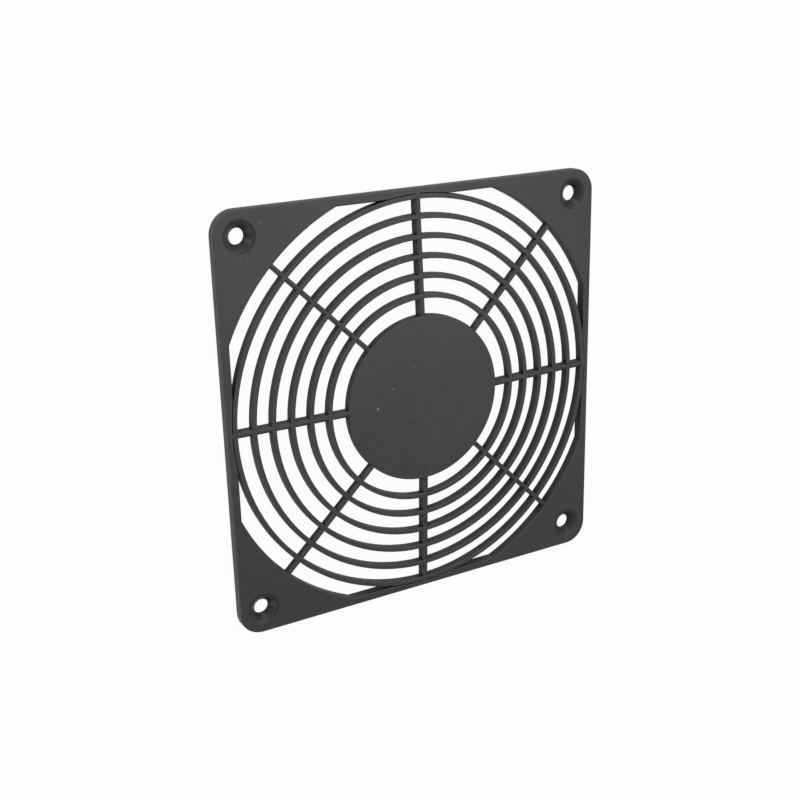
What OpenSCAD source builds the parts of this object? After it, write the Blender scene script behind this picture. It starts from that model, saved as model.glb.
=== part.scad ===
// Finger guard for a square axial fan, moulded in one piece: a flat square frame with four
// countersunk screw holes, and a shallow conical grille of rings and spokes round a plain hub.
// It lies on its mounting face. The origin is the centre of that face, +Z points out of the fan,
// and X and Y run along the sides of the frame. All lengths are in millimetres.

/* [Screw holes] */
// Distance between neighbouring screw holes
screw_pitch = 104.8; // [80:0.1:120]
// Distance from a screw hole to the frame's two nearest outer edges
screw_margin = 7.1; // [6.4:0.1:10]
// Diameter of the screw holes
screw_d = 4.4; // [3:0.1:5.5]
// Diameter of the countersinks at their upper edges
sink_d = 7.5; // [6:0.1:8.5]
// Included angle of the countersinks
sink_angle = 90; // [80:1:120]
// Diameter of the shallow dish round each countersink
dish_d = 10.2; // [9:0.1:12]
// Depth of that dish at the edge of the countersink
dish_depth = 0.25; // [0.1:0.05:0.5]

/* [Frame] */
// Thickness of the frame, from its mounting face to its front face
frame_t = 2.75; // [2.2:0.05:5]
// Radius of the frame's outer corners
corner_r = 6.6; // [3:0.1:12]
// Width of the straight bars along the sides
bar_w = 2.45; // [2.2:0.05:4]
// How far a corner plate reaches in from its screw hole, along the diagonal
plate_reach = 11.95; // [9:0.05:16]
// Fillet along the front edges of the frame
frame_edge_r = 0.4; // [0.2:0.05:0.8]

/* [Rings] */
// Distance between the middles of neighbouring rings
ring_pitch = 5.5; // [4:0.1:9]
// Width of a ring
ring_w = 1.45; // [1:0.05:2.2]
// Height of a ring, from its back to its crest
ring_h = 2.35; // [1.6:0.05:2.7]
// How far the outermost ring runs into the side bars
ring_bite = 0.9; // [0.4:0.05:1.2]
// Height of the outermost ring's crest above the front face of the frame
ring_lift = 0.2; // [0.2:0.05:1.5]
// Slope of the grille, which rises from the outermost ring to the hub
grille_slope = 2.5; // [0.5:0.1:8]
// Rounding along the crests of rings and spokes
crest_r = 0.35; // [0.15:0.05:0.45]
// Width of the groove between the outermost ring and a side bar
groove_w = 0.2; // [0.1:0.05:0.5]
// Depth of that groove, from the front face of the frame
groove_depth = 1; // [0.4:0.1:1.4]

/* [Spokes] */
// Width of the four spokes that run to the side bars
side_spoke_w = 1.95; // [1:0.05:4]
// Width of the four spokes that run to the corner plates
corner_spoke_w = 1.25; // [1:0.05:4]
// Height of a spoke, from its back to its crest
spoke_h = 2.1; // [1.4:0.05:2.6]
// How far the crests of the spokes lie below the crests of the rings
spoke_drop = 0.4; // [0.1:0.05:0.6]
// How far the spokes run into the frame and the hub
spoke_root = 1.6; // [0.8:0.1:1.8]
// Radius in the corners between spokes and rings
web_r = 0.45; // [0.2:0.05:0.8]

/* [Hub] */
// Radius of the hub
hub_r = 24.3; // [10:0.1:35]
// Thickness of the hub
hub_t = 2.3; // [1.6:0.05:4]
// How far the front of the hub lies below the cone of the rings' crests
hub_drop = 0.05; // [0:0.05:0.6]
// Fillet along the front edge of the hub
hub_edge_r = 0.4; // [0.2:0.05:0.8]

/* [Hidden] */
$fa = 2;
$fs = 0.2;
plastic = [0.25, 0.25, 0.27];

// Steps in a rounded edge, least flat left along a crest, overrun of a cut, and overlap of a web
// with the walls beside it
edge_steps = 5;
crest_flat = 0.1;
overrun = 1;
web_bite = 0.05;

quarter_turns = [0, 90, 180, 270];
eighth_turn = 45;
frame_w = screw_pitch + 2 * screw_margin;
opening_half = frame_w / 2 - bar_w;
arc_r = screw_pitch / sqrt(2) - plate_reach;
ring_r = opening_half + ring_bite - ring_w / 2;
ring_steps = floor((ring_r - ring_w / 2 - hub_r) / ring_pitch);
ring_radii = [for (k = [0:ring_steps]) ring_r - k * ring_pitch];

// Height of the rings' crests, of the spokes' crests and of the hub's front at a given radius
function ring_z(r) = frame_t + ring_lift + (ring_r - r) * tan(grille_slope);
function spoke_z(r) = ring_z(r) - spoke_drop;
hub_z = ring_z(hub_r) - hub_drop;

// Points along an arc about a centre, from one angle to another
function arc(centre, r, from, to) =
    [for (i = [0:edge_steps]) let (a = from + (to - from) * i / edge_steps) centre + r * [cos(a), sin(a)]];

// Outline of a bar's section: its crest is at the origin, with both edges rounded
module bar_section(w, h) {
    r = min(crest_r, (w - crest_flat) / 2);
    polygon(concat(
        [[-w / 2, -h], [w / 2, -h]],
        arc([w / 2 - r, -r], r, 0, 90),
        arc([r - w / 2, -r], r, 90, 180)
    ));
}

// Wall and filleted front edge of a plate that ends at x
function plate_edge(x, t, r) = concat([[x, 0]], arc([x - r, t - r], r, 0, 90));

// Wall and filleted front edge of an opening cut through the frame at x
function opening_edge(x) = concat(
    [[x, -overrun]],
    arc([x + frame_edge_r, frame_t - frame_edge_r], frame_edge_r, 180, 90),
    [[x + frame_edge_r, frame_t + overrun]]
);

function mirrored(points) = [for (i = [len(points) - 1:-1:0]) [-points[i].x, points[i].y]];

// Closes a profile on the axis, for turning
function to_axis(points) = concat([[0, points[0].y]], points, [[0, points[len(points) - 1].y]]);

// A prism along Y whose section is a right-hand profile and its mirror image
module symmetric_prism(points, length) {
    rotate([90, 0, 0])
        linear_extrude(length, center = true)
            polygon(concat(points, mirrored(points)));
}

// The square slab, with rounded corners and a fillet round its front face
module slab() {
    inner = frame_w / 2 - corner_r;
    for (a = [0, 90])
        rotate(a)
            symmetric_prism(plate_edge(frame_w / 2, frame_t, frame_edge_r), 2 * inner);
    for (a = quarter_turns)
        rotate(a)
            translate([inner, inner])
                rotate_extrude(angle = 90)
                    polygon(to_axis(plate_edge(corner_r, frame_t, frame_edge_r)));
}

// The cut that leaves four side bars and four corner plates with round inner ends
module fan_opening() {
    intersection() {
        rotate_extrude()
            polygon(to_axis(opening_edge(arc_r)));
        symmetric_prism(opening_edge(opening_half), frame_w);
        rotate(90)
            symmetric_prism(opening_edge(opening_half), frame_w);
    }
}

// The groove that parts the outermost ring from the front of the side bars
module ring_groove() {
    translate([0, 0, frame_t - groove_depth])
        rotate_extrude()
            translate([ring_r, 0])
                square([ring_w / 2 + groove_w, groove_depth + overrun]);
}

// A through hole with a countersink, in a shallow dish that curves into the front face
module screw_hole() {
    run = (dish_d - sink_d) / 2;
    dish_r = (run ^ 2 + dish_depth ^ 2) / (2 * dish_depth);
    dish_slope = 2 * atan(dish_depth / run);
    dish = arc([dish_d / 2, frame_t - dish_r], dish_r, 90 + dish_slope, 90);
    apex = [0, frame_t - dish_depth - sink_d / 2 / tan(sink_angle / 2)];
    top = frame_t + overrun;
    translate([0, 0, -overrun])
        cylinder(d = screw_d, h = frame_t + 2 * overrun);
    rotate_extrude()
        polygon(concat([apex], dish, [[dish_d / 2, top], [0, top]]));
}

module frame() {
    difference() {
        slab();
        fan_opening();
        ring_groove();
        for (a = quarter_turns)
            rotate(a)
                translate([screw_pitch / 2, screw_pitch / 2])
                    screw_hole();
    }
}

module ring(r) {
    rotate_extrude()
        translate([r, ring_z(r)])
            bar_section(ring_w, ring_h);
}

// A straight spoke along +X, from inside the hub to a wall of the frame at the given radius.
// No part of it reaches below the mounting face.
module spoke(w, wall_r) {
    start = hub_r - spoke_root;
    end = wall_r + spoke_root;
    intersection() {
        translate([start, 0, spoke_z(start)])
            rotate([0, grille_slope, 0])
                rotate([90, 0, 90])
                    linear_extrude((end - start) / cos(grille_slope))
                        bar_section(w, spoke_h);
        translate([0, -w, 0])
            cube([frame_w, 2 * w, spoke_z(0)]);
    }
}

// Fills the four corners where a spoke of width w crosses a rim of ring_w at radius r
module corner_web(w, r, back, crest) {
    x = ring_w / 2 + web_r;
    y = w / 2 + web_r;
    translate([r, 0, back])
        linear_extrude(crest - crest_r - back)
            difference() {
                square([2 * x, 2 * y], center = true);
                for (i = [-1, 1], j = [-1, 1])
                    translate([i * x, j * y])
                        circle(web_r + web_bite);
            }
}

// A spoke with the webs where it leaves the hub and crosses the rings
module webbed_spoke(w, wall_r) {
    spoke(w, wall_r);
    corner_web(w, hub_r - ring_w / 2, hub_z - hub_t, spoke_z(hub_r));
    for (r = ring_radii)
        corner_web(w, r, ring_z(r) - ring_h, spoke_z(r));
}

module hub() {
    translate([0, 0, hub_z - hub_t])
        rotate_extrude()
            polygon(to_axis(plate_edge(hub_r, hub_t, hub_edge_r)));
}

module grille() {
    hub();
    for (r = ring_radii)
        ring(r);
    for (a = quarter_turns) {
        rotate(a)
            webbed_spoke(side_spoke_w, opening_half);
        rotate(a + eighth_turn) {
            crest = spoke_z(arc_r);
            webbed_spoke(corner_spoke_w, arc_r);
            corner_web(corner_spoke_w, arc_r + ring_w / 2, max(0, crest - spoke_h), crest);
        }
    }
}

module finger_guard() {
    color(plastic)
        union() {
            frame();
            grille();
        }
}

finger_guard();
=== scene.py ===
"""Looks of a moulded fan finger guard that lies on a pale studio floor.

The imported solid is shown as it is, with round crests added along its spokes. This script gives
both their charcoal plastic and adds the floor, the light and the camera. Lengths are in metres,
in the part's own frame, unless a name or comment says otherwise.
"""

import math

import bpy
from mathutils import Matrix, Vector


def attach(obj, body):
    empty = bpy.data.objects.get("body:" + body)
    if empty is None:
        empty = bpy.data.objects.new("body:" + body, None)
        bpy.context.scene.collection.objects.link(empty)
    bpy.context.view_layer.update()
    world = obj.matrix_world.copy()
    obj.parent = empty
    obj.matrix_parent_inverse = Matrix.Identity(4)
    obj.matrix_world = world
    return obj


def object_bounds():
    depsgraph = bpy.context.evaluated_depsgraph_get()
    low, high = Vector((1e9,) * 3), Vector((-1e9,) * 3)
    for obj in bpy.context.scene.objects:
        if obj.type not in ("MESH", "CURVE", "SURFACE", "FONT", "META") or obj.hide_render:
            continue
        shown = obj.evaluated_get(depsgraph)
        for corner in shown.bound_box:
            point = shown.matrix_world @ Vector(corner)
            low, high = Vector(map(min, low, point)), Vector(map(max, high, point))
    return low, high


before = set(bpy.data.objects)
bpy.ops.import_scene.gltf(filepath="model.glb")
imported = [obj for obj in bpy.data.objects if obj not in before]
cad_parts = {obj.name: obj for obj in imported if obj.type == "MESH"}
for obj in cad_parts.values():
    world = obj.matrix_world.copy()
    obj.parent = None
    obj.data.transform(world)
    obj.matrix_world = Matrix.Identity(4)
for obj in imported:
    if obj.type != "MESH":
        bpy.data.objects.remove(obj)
cad_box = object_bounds()

MM = 0.001

# Camera: where it stands, what it looks at, its turn about its own axis from the part's +Y, its
# lens, and the nearest and farthest things that it shows
CAMERA_AT = Vector((-170.27, 114.15, 290.43)) * MM
CAMERA_AIM = Vector((-5.60, -0.61, 0)) * MM
CAMERA_ROLL = math.radians(-1.470)
CAMERA_LENS_MM = 55.816
CAMERA_SENSOR_MM = 36
CAMERA_NEAR = 0.01
CAMERA_FAR = 12.0

# Charcoal plastic: its two tones, and the size, detail and weight of each of the three noises that
# blend them. Only the middle of a noise's range is used.
TONE_DARK = (0.048, 0.047, 0.051, 1)
TONE_LIGHT = (0.066, 0.065, 0.070, 1)
GRAIN_SIZE, GRAIN_DETAIL, GRAIN_WEIGHT = 0.35 * MM, 2.0, 0.4
MOTTLE_SIZE, MOTTLE_DETAIL, MOTTLE_WEIGHT = 2.4 * MM, 3.0, 0.35
CLOUD_SIZE, CLOUD_DETAIL, CLOUD_WEIGHT = 22 * MM, 2.0, 0.25
NOISE_ROUGHNESS = 0.55
NOISE_RANGE = (0.3, 0.7)

# Its gloss, the extra roughness of its walls, and the relief of the grain
SHINE = 0.13
ROUGHNESS_RANGE = (0.30, 0.40)
WALL_ROUGHNESS = 0.2
GRAIN_DEPTH = 0.03 * MM
GRAIN_STRENGTH = 0.35

# Painted shade in recess and groove, and a painted highlight on edges: how far round a point the
# openness is read, the openness over which each one fades, and its tone
OPENNESS_RAYS = 8
RECESS_SIZE, RECESS_OPENNESS, RECESS_SHADE = 5 * MM, (0.5, 1.0), 0.05
GROOVE_SIZE, GROOVE_OPENNESS, GROOVE_SHADE = 1.2 * MM, (0.5, 0.98), 0.05
EDGE_SIZE, EDGE_OPENNESS = 0.5 * MM, (0.6, 0.95)
EDGE_HIGHLIGHT_TONE = (0.100, 0.0985, 0.105, 1)

# Height of the normal over which a surface turns from back to front, from wall to face, and from
# plain to one whose edges carry a painted highlight
FRONT_UPWARD = (-0.6, -0.4)
FACE_UPWARD = (0.1, 0.6)
EDGE_UPWARD = (0.2, 0.5)

# Painted shade along the rim of each countersink and on the wall of the hub: the radii where it
# sets in, is darkest and ends, and the shade inside and at its darkest. The screw holes lie
# HOLE_OFFSET from the middle in x and y.
HOLE_OFFSET = 52.4 * MM
SINK_RIM_SHADE = {
    "start": 3.75 * MM, "darkest": 4.4 * MM, "end": 4.65 * MM, "inside": 0.85, "shade": 0.6,
}
HUB_RIM_SHADE = {
    "start": 24.05 * MM, "darkest": 24.2 * MM, "end": 25.5 * MM, "inside": 1.0, "shade": 0.65,
}

# Specks of pale dust on the front: x, y and radius in millimetres, and how well each one shows.
# The core is the share of the radius inside which a speck doesn't fade.
DUST_COLOUR = (0.42, 0.41, 0.40, 1)
DUST_CORE = 0.3
DUST = [
    (-15.1, -0.2, 0.50, 0.6),
    (-10.2, 4.7, 0.60, 0.16),
    (-3.4, 10.1, 0.65, 0.09),
    (4.3, 15.0, 0.20, 0.3),
    (-0.9, 1.7, 0.20, 0.3),
    (-3.0, -5.0, 0.20, 0.25),
    (-13.8, -8.6, 0.20, 0.25),
    (-46.3, 55.6, 0.25, 0.4),
    (-52.6, 45.9, 0.22, 0.35),
    (-52.5, 43.2, 0.20, 0.3),
]

# Crests of the spokes: the radius where they leave the hub, their fall towards the frame, and the
# width and outer end of the spokes to the sides and to the corners, which take turns
SPOKES = 8
CREST_START = 24.1 * MM
CREST_SLOPE = math.radians(2.5)
SIDE_CREST = (1.99 * MM, 58.3 * MM)
CORNER_CREST = (1.29 * MM, 62.7 * MM)
CREST_DEPTH = 1.1 * MM
CREST_STEPS = 12
SHARP_ANGLE = math.radians(40)

# Studio: a pale round floor with a low wall, a dim even room, and soft boxes at an azimuth and an
# elevation, in degrees, as seen from the guard
FLOOR_RADIUS = 3.0
WALL_HEIGHT = 0.6
FLOOR_SIDES = 64
FLOOR_COLOUR = (0.80, 0.80, 0.80, 1)
FLOOR_WHITENESS = 0.96
ROOM_LEVEL = 0.08
WHITE = (1, 1, 1, 1)
SOFT_BOXES = {
    "front_box": {"azimuth": 0, "elevation": 66, "distance": 0.75, "size": 0.45, "power": 2.25},
    "top_box": {"azimuth": 85, "elevation": 30, "distance": 0.6, "size": 0.15, "power": 1.2},
    "edge_box": {"azimuth": 40, "elevation": 50, "distance": 0.6, "size": 0.12, "power": 0.6},
    "left_box": {"azimuth": 150, "elevation": 14, "distance": 0.8, "size": 0.4, "power": 2.8},
    "low_left_box": {"azimuth": -140, "elevation": 14, "distance": 0.8, "size": 0.4, "power": 1.7},
}

# The sockets of a Mix node that hold colours
MIX_FIRST, MIX_SECOND, MIX_RESULT = 6, 7, 2


class Nodes:
    """Adds shader nodes to one tree and links them."""

    def __init__(self, tree):
        self.tree = tree
        tree.nodes.clear()

    def add(self, kind, inputs=None, **settings):
        node = self.tree.nodes.new(kind)
        for name, value in settings.items():
            setattr(node, name, value)
        for name, value in (inputs or {}).items():
            self.put(node.inputs[name], value)
        return node

    def put(self, socket, value):
        """Links an output to a socket, or sets the socket to a plain value."""
        if isinstance(value, bpy.types.NodeSocket):
            self.tree.links.new(value, socket)
        else:
            socket.default_value = value

    def math(self, operation, *values):
        node = self.add("ShaderNodeMath", operation=operation)
        for socket, value in zip(node.inputs, values):
            self.put(socket, value)
        return node.outputs[0]

    def noise(self, coords, size, detail):
        inputs = {
            "Vector": coords, "Scale": 1 / size, "Detail": detail, "Roughness": NOISE_ROUGHNESS,
        }
        return self.add("ShaderNodeTexNoise", inputs).outputs["Fac"]

    def spread(self, value, low, high, to_low, to_high):
        """Maps a value from one range to another, and holds it there."""
        inputs = {
            "Value": value, "From Min": low, "From Max": high, "To Min": to_low, "To Max": to_high,
        }
        return self.add("ShaderNodeMapRange", inputs, clamp=True).outputs[0]

    def openness(self, reach, inside=False):
        """How free a point is of other surfaces within reach, outside or inside the solid."""
        settings = {"samples": OPENNESS_RAYS, "only_local": True, "inside": inside}
        node = self.add("ShaderNodeAmbientOcclusion", {"Distance": reach}, **settings)
        return node.outputs["AO"]

    def upward(self, vector):
        return self.add("ShaderNodeSeparateXYZ", {"Vector": vector}).outputs["Z"]

    def flat(self, vector):
        """The vector without its height."""
        parts = self.add("ShaderNodeSeparateXYZ", {"Vector": vector}).outputs
        inputs = {"X": parts["X"], "Y": parts["Y"]}
        return self.add("ShaderNodeCombineXYZ", inputs).outputs[0]

    def distance(self, first, second):
        node = self.add("ShaderNodeVectorMath", operation="DISTANCE")
        self.put(node.inputs[0], first)
        self.put(node.inputs[1], second)
        return node.outputs["Value"]

    def mix(self, share, first, second, blend_type="MIX"):
        node = self.add("ShaderNodeMix", data_type="RGBA", blend_type=blend_type)
        self.put(node.inputs["Factor"], share)
        self.put(node.inputs[MIX_FIRST], first)
        self.put(node.inputs[MIX_SECOND], second)
        return node.outputs[MIX_RESULT]


def new_material(name):
    material = bpy.data.materials.new(name)
    material.use_nodes = True
    return material, Nodes(material.node_tree)


def dust_share(nodes, coords):
    """How much of the surface is dust at a point: a soft spot round each speck."""
    flat = nodes.flat(coords)
    share = 0.0
    for x, y, radius, strength in DUST:
        offset = nodes.distance(flat, (x * MM, y * MM, 0))
        spot = nodes.spread(offset, DUST_CORE * radius * MM, radius * MM, strength, 0.0)
        share = nodes.math("MAXIMUM", share, spot)
    return share


def painted_shade_by_radius(nodes, radius, start, darkest, end, inside, shade):
    """Painted shade by radius, darkest along a rim."""
    inner = nodes.spread(radius, start, darkest, inside, shade)
    outer = nodes.spread(radius, darkest, end, shade, 1.0)
    return nodes.math("MAXIMUM", inner, outer)


def rim_painted_shade(nodes, coords):
    """Painted shade in each countersink and on the wall of the hub."""
    flat = nodes.flat(coords)
    folded = nodes.add("ShaderNodeVectorMath", operation="ABSOLUTE")
    nodes.put(folded.inputs[0], flat)
    from_hole = nodes.distance(folded.outputs["Vector"], (HOLE_OFFSET, HOLE_OFFSET, 0))
    from_middle = nodes.distance(flat, (0, 0, 0))
    sinks = painted_shade_by_radius(nodes, from_hole, **SINK_RIM_SHADE)
    return nodes.math("MULTIPLY", sinks, painted_shade_by_radius(nodes, from_middle, **HUB_RIM_SHADE))


def recess_painted_shade(nodes):
    """Painted shade in each wide recess and in each narrow groove."""
    recess = nodes.spread(nodes.openness(RECESS_SIZE), *RECESS_OPENNESS, RECESS_SHADE, 1.0)
    groove = nodes.spread(nodes.openness(GROOVE_SIZE), *GROOVE_OPENNESS, GROOVE_SHADE, 1.0)
    return nodes.math("MULTIPLY", recess, groove)


def edge_highlight_share(nodes, upward):
    """How far a point lies on an outer edge that looks up, where a paler tone is painted as a
    highlight.
    """
    edge = nodes.spread(nodes.openness(EDGE_SIZE, inside=True), *EDGE_OPENNESS, 1.0, 0.0)
    return nodes.math("MULTIPLY", edge, nodes.spread(upward, *EDGE_UPWARD, 0.0, 1.0))


def charcoal_plastic():
    """Moulded plastic with a fine matte grain, faint mottling, a few specks of dust, painted shade
    and painted edge highlights.
    """
    material, nodes = new_material("charcoal_plastic_moulded")
    coords = nodes.add("ShaderNodeTexCoord").outputs["Object"]
    upward = nodes.upward(nodes.add("ShaderNodeNewGeometry").outputs["Normal"])
    front = nodes.spread(upward, *FRONT_UPWARD, 0.0, 1.0)
    back = nodes.math("SUBTRACT", 1.0, front)

    grain = nodes.noise(coords, GRAIN_SIZE, GRAIN_DETAIL)
    mottle = nodes.noise(coords, MOTTLE_SIZE, MOTTLE_DETAIL)
    clouds = nodes.noise(coords, CLOUD_SIZE, CLOUD_DETAIL)
    blend = nodes.math("MULTIPLY", mottle, MOTTLE_WEIGHT)
    blend = nodes.math("MULTIPLY_ADD", grain, GRAIN_WEIGHT, blend)
    blend = nodes.math("MULTIPLY_ADD", clouds, CLOUD_WEIGHT, blend)

    tone = nodes.mix(nodes.spread(blend, *NOISE_RANGE, 0, 1), TONE_DARK, TONE_LIGHT)
    # A paler tone on upward outer edges is a painted highlight.
    tone = nodes.mix(edge_highlight_share(nodes, upward), tone, EDGE_HIGHLIGHT_TONE)
    # Painted shade in recess, groove, countersink and hub wall darkens the front's tone.
    front_rim_shade = nodes.math("MAXIMUM", rim_painted_shade(nodes, coords), back)
    tone = nodes.mix(1.0, tone, nodes.math("MULTIPLY", recess_painted_shade(nodes), front_rim_shade), "MULTIPLY")
    dust = nodes.math("MULTIPLY", dust_share(nodes, coords), front)
    colour = nodes.mix(dust, tone, DUST_COLOUR)

    roughness = nodes.spread(mottle, *NOISE_RANGE, *ROUGHNESS_RANGE)
    wall_extra = nodes.spread(upward, *FACE_UPWARD, WALL_ROUGHNESS, 0.0)
    bump = nodes.add("ShaderNodeBump", {
        "Strength": GRAIN_STRENGTH,
        "Distance": GRAIN_DEPTH,
        "Height": grain,
    })
    shader = nodes.add("ShaderNodeBsdfPrincipled", {
        "Base Color": colour,
        "Roughness": nodes.math("ADD", roughness, wall_extra),
        "Specular IOR Level": SHINE,
        "Normal": bump.outputs["Normal"],
    })
    output = nodes.add("ShaderNodeOutputMaterial")
    nodes.put(output.inputs["Surface"], shader.outputs["BSDF"])
    return material


def crest_section(width):
    """Half-round top of a spoke, as points across and below its crest, with walls to its foot."""
    radius = width / 2
    angles = [math.pi * step / CREST_STEPS for step in range(CREST_STEPS + 1)]
    top = [(radius * math.cos(a), radius * (math.sin(a) - 1)) for a in angles]
    return [(radius, -CREST_DEPTH), *top, (-radius, -CREST_DEPTH)]


def spoke_crests(material):
    """Round crests that bring the spokes up to the rings and the hub. The solid's lie lower."""
    points, faces = [], []
    for spoke in range(SPOKES):
        width, end = CORNER_CREST if spoke % 2 else SIDE_CREST
        turn = Matrix.Rotation(math.tau * spoke / SPOKES, 3, "Z")
        section = crest_section(width)
        count, first = len(section), len(points)
        for radius in (CREST_START, end):
            level = cad_box[1].z - (radius - CREST_START) * math.tan(CREST_SLOPE)
            points += [turn @ Vector((radius, across, level + rise)) for across, rise in section]
        near = list(range(first, first + count))
        far = [index + count for index in near]
        sides = zip(near, near[1:] + near[:1], far[1:] + far[:1], far)
        faces += [near[::-1], far, *sides]
    mesh = bpy.data.meshes.new("spoke_crests")
    mesh.from_pydata(points, [], faces)
    mesh.shade_smooth()
    mesh.set_sharp_from_angle(angle=SHARP_ANGLE)
    mesh.materials.append(material)
    crests = bpy.data.objects.new("spoke_crests", mesh)
    bpy.context.scene.collection.objects.link(crests)
    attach(crests, "root")


def seen_directly(nodes):
    """1 for rays that show the background in the picture, in a reflection or through glass."""
    path = nodes.add("ShaderNodeLightPath").outputs
    seen = nodes.math("MAXIMUM", path["Is Camera Ray"], path["Is Glossy Ray"])
    return nodes.math("MAXIMUM", seen, path["Is Transmission Ray"])


def pale_floor():
    """Pale paint that looks almost white and keeps a faint shadow of the guard."""
    material, nodes = new_material("pale_floor")
    paint = nodes.add("ShaderNodeBsdfDiffuse", {"Color": FLOOR_COLOUR})
    glow = nodes.add("ShaderNodeEmission", {"Color": WHITE, "Strength": 1.0})
    mix = nodes.add("ShaderNodeMixShader")
    nodes.put(mix.inputs[0], nodes.math("MULTIPLY", seen_directly(nodes), FLOOR_WHITENESS))
    nodes.put(mix.inputs[1], paint.outputs[0])
    nodes.put(mix.inputs[2], glow.outputs[0])
    output = nodes.add("ShaderNodeOutputMaterial")
    nodes.put(output.inputs["Surface"], mix.outputs[0])
    return material


def studio_floor():
    """A round floor with a low wall, so that low views show no edge of it."""
    level = cad_box[0].z
    angles = [math.tau * side / FLOOR_SIDES for side in range(FLOOR_SIDES)]
    rim = [
        Vector((FLOOR_RADIUS * math.cos(a), FLOOR_RADIUS * math.sin(a), level)) for a in angles
    ]
    wall_top = [point + Vector((0, 0, WALL_HEIGHT)) for point in rim]
    low = list(range(FLOOR_SIDES))
    high = [index + FLOOR_SIDES for index in low]
    wall = zip(low, high, high[1:] + high[:1], low[1:] + low[:1])
    mesh = bpy.data.meshes.new("floor")
    mesh.from_pydata(rim + wall_top, [], [low, *wall])
    mesh.materials.append(pale_floor())
    floor = bpy.data.objects.new("floor", mesh)
    bpy.context.scene.collection.objects.link(floor)


def room():
    """Even light from all round."""
    world = bpy.data.worlds.new("room")
    world.use_nodes = True
    bpy.context.scene.world = world
    nodes = Nodes(world.node_tree)
    light = nodes.add("ShaderNodeBackground", {"Color": WHITE, "Strength": ROOM_LEVEL})
    output = nodes.add("ShaderNodeOutputWorld")
    nodes.put(output.inputs["Surface"], light.outputs[0])


def soft_box(name, azimuth, elevation, distance, size, power):
    """A square lamp that faces the middle of the guard."""
    lamp = bpy.data.lights.new(name, "AREA")
    lamp.shape = "SQUARE"
    lamp.size = size
    lamp.energy = power
    box = bpy.data.objects.new(name, lamp)
    turn = Matrix.Rotation(math.radians(azimuth), 4, "Z")
    tilt = Matrix.Rotation(math.radians(90 - elevation), 4, "Y")
    box.matrix_world = turn @ tilt @ Matrix.Translation((0, 0, distance))
    bpy.context.scene.collection.objects.link(box)


def studio_camera():
    """The photograph's view of the guard."""
    data = bpy.data.cameras.new("camera")
    data.sensor_width = CAMERA_SENSOR_MM
    data.lens = CAMERA_LENS_MM
    data.clip_start = CAMERA_NEAR
    data.clip_end = CAMERA_FAR
    camera = bpy.data.objects.new("camera", data)
    back = (CAMERA_AT - CAMERA_AIM).normalized()
    right = Vector((0, 1, 0)).cross(back).normalized()
    level = Matrix((right, back.cross(right), back)).transposed()
    turn = level @ Matrix.Rotation(CAMERA_ROLL, 3, "Z")
    camera.matrix_world = Matrix.Translation(CAMERA_AT) @ turn.to_4x4()
    bpy.context.scene.collection.objects.link(camera)
    bpy.context.scene.camera = camera


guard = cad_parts["finger_guard"]
guard.data.materials[0] = charcoal_plastic()
spoke_crests(guard.data.materials[0])
studio_floor()
room()
for box_name, box_values in SOFT_BOXES.items():
    soft_box(box_name, **box_values)
studio_camera()
bpy.context.scene.view_settings.view_transform = "Standard"
